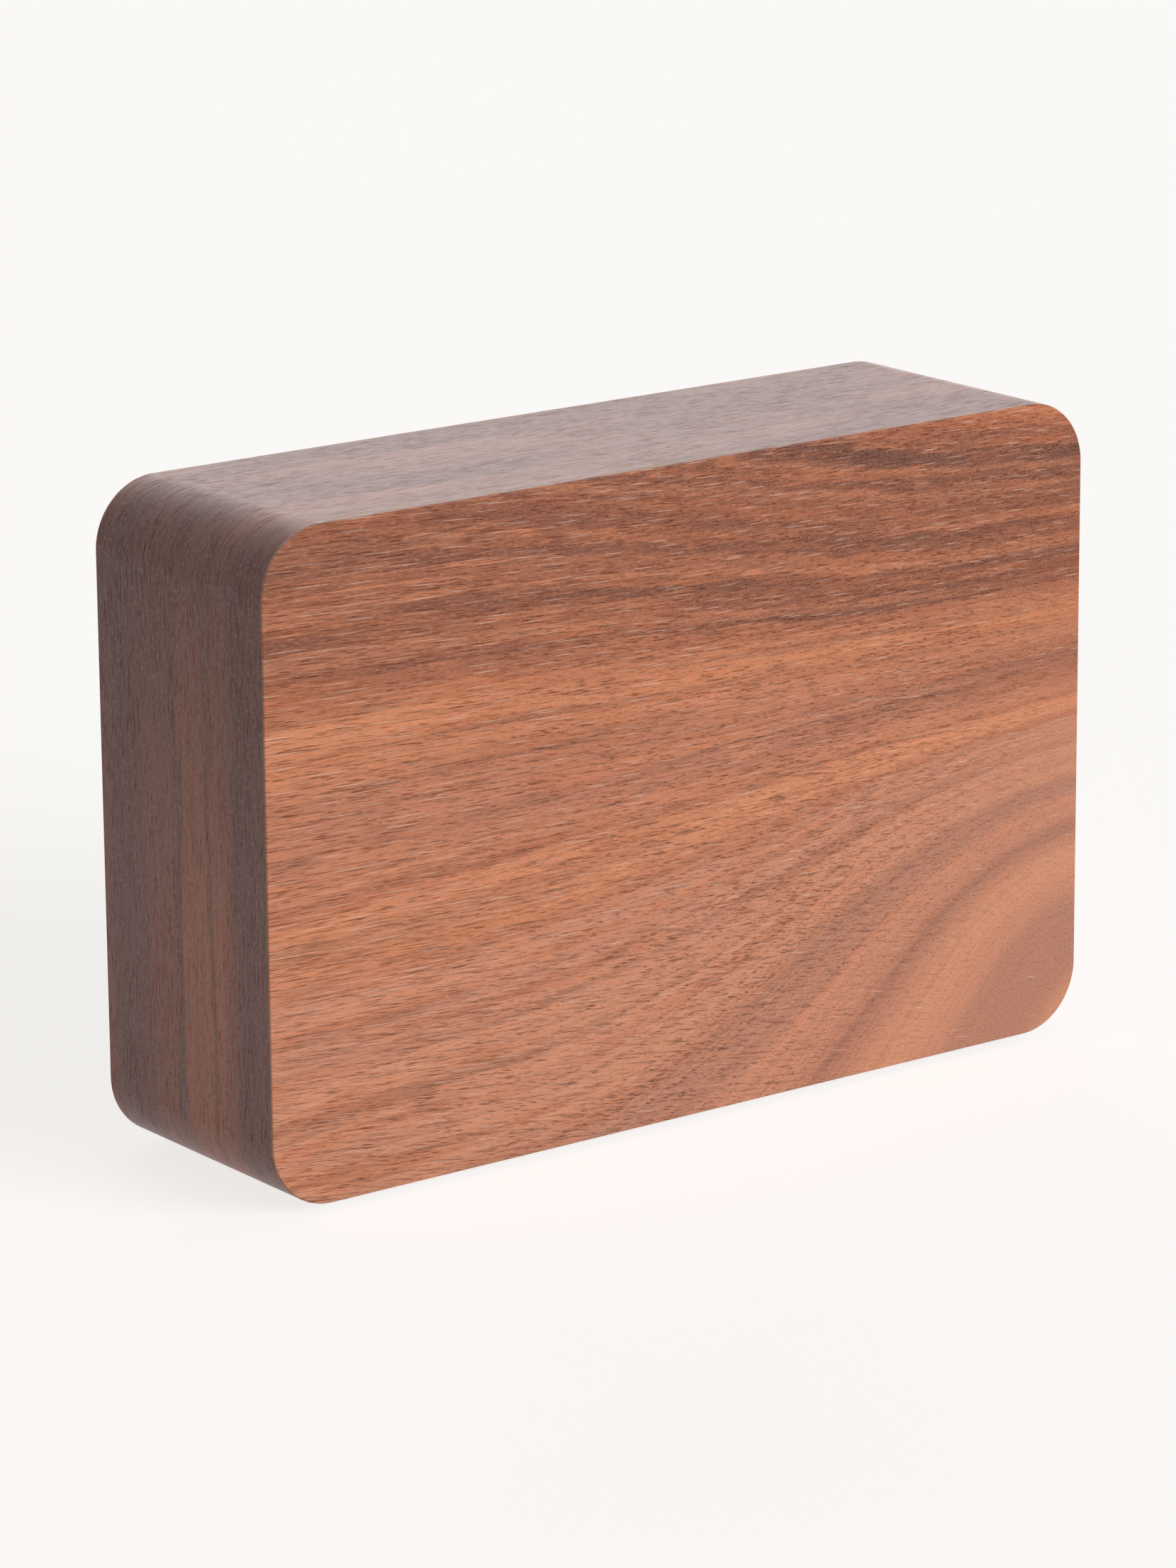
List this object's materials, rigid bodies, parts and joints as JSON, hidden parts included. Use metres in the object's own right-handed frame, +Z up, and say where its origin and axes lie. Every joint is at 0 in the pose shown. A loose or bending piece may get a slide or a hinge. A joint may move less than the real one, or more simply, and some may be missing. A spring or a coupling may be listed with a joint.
{
  "type": "digital alarm clock",
  "caption": "Block-shaped walnut-veneered digital alarm clock with rounded corners; lit digits show through the plain front, and controls and a battery door are on its back.",
  "frame": {"origin": "on the table, under the middle of the case", "axes": "+X to the right along the width as one faces the clock, +Y from the front to the back, +Z up"},
  "size_m": [0.23, 0.065, 0.1535],
  "materials": {
    "walnut_veneer": "satin lacquer",
    "fibreboard": "raw",
    "softwood": "sawn",
    "black_abs": "fine spark texture",
    "button_abs": "satin",
    "diffuser_film": "frosted",
    "circuit_board": "solder mask",
    "lamp": "clear resin over phosphor",
    "chip": "moulded epoxy",
    "wire_socket": "natural nylon",
    "zinc_screw": "zinc plate",
    "black_screw": "black oxide",
    "switch_plunger": "satin",
    "switch_body": "tin plate",
    "knob_plastic": "satin",
    "inlet_steel": "nickel plate",
    "inlet_tongue": "satin",
    "buzzer_case": "satin",
    "microphone_can": "plain",
    "crystal_can": "bright",
    "capacitor_sleeve": "shrunk sleeve",
    "ribbon_cable": "satin",
    "battery_lead": "one red and one black",
    "cell": "printed sleeve",
    "contact_nickel": "nickel plate",
    "foot_rubber": "matt"
  },
  "bodies": {
    "case": {"front_veneer": "walnut_veneer", "band_veneer": "walnut_veneer", "rear_rim_veneer": "walnut_veneer", "case_band": "fibreboard", "front_board": "fibreboard", "corner_block_1": "softwood", "corner_block_2": "softwood", "corner_block_3": "softwood", "corner_block_4": "softwood", "digit_frame_1": "black_abs", "digit_frame_2": "black_abs", "digit_frame_3": "black_abs", "digit_frame_4": "black_abs", "colon_frame": "black_abs", "back_cover": "black_abs", "diffuser_films": "diffuser_film", "display_board": "circuit_board", "control_board": "circuit_board", "segment_leds": "lamp", "driver_chips": "chip", "clock_chip": "chip", "display_socket": "wire_socket", "control_socket": "wire_socket", "display_screws": "zinc_screw", "control_screws": "zinc_screw", "back_screws": "black_screw", "set_switch": "switch_body", "up_switch": "switch_body", "down_switch": "switch_body", "sound_switch": "switch_body", "usb_shell": "inlet_steel", "usb_tongue": "inlet_tongue", "buzzer": "buzzer_case", "microphone": "microphone_can", "crystal": "crystal_can", "capacitor": "capacitor_sleeve", "ribbon_cable": "ribbon_cable", "battery_leads": "battery_lead", "battery_cell_1": "cell", "battery_cell_2": "cell", "battery_cell_3": "cell", "battery_springs": "contact_nickel", "battery_contacts": "contact_nickel", "foot_1": "foot_rubber", "foot_2": "foot_rubber", "foot_3": "foot_rubber", "foot_4": "foot_rubber"},
    "set_button": {"set_button": "button_abs", "set_plunger": "switch_plunger"},
    "up_button": {"up_button": "button_abs", "up_plunger": "switch_plunger"},
    "down_button": {"down_button": "button_abs", "down_plunger": "switch_plunger"},
    "sound_knob": {"sound_knob": "knob_plastic"},
    "battery_door": {"battery_door": "black_abs"}
  },
  "joints": [
    {"name": "set_press", "type": "slide", "parent": "case", "child": "set_button", "axis": [0, -1, 0], "range_m": [0, 0.0005], "stiffness_N_per_m": 1500, "springref_m": -0.0005},
    {"name": "up_press", "type": "slide", "parent": "case", "child": "up_button", "axis": [0, -1, 0], "range_m": [0, 0.0005], "stiffness_N_per_m": 1500, "springref_m": -0.0005},
    {"name": "down_press", "type": "slide", "parent": "case", "child": "down_button", "axis": [0, -1, 0], "range_m": [0, 0.0005], "stiffness_N_per_m": 1500, "springref_m": -0.0005},
    {"name": "sound_slide", "type": "slide", "parent": "case", "child": "sound_knob", "axis": [-1, 0, 0], "range_m": [0, 0.003]},
    {"name": "battery_door_hinge", "type": "hinge", "parent": "case", "child": "battery_door", "pos_m": [0, 0.0298, 0.02855], "axis": [-1, 0, 0], "range_deg": [0, 85]}
  ]
}
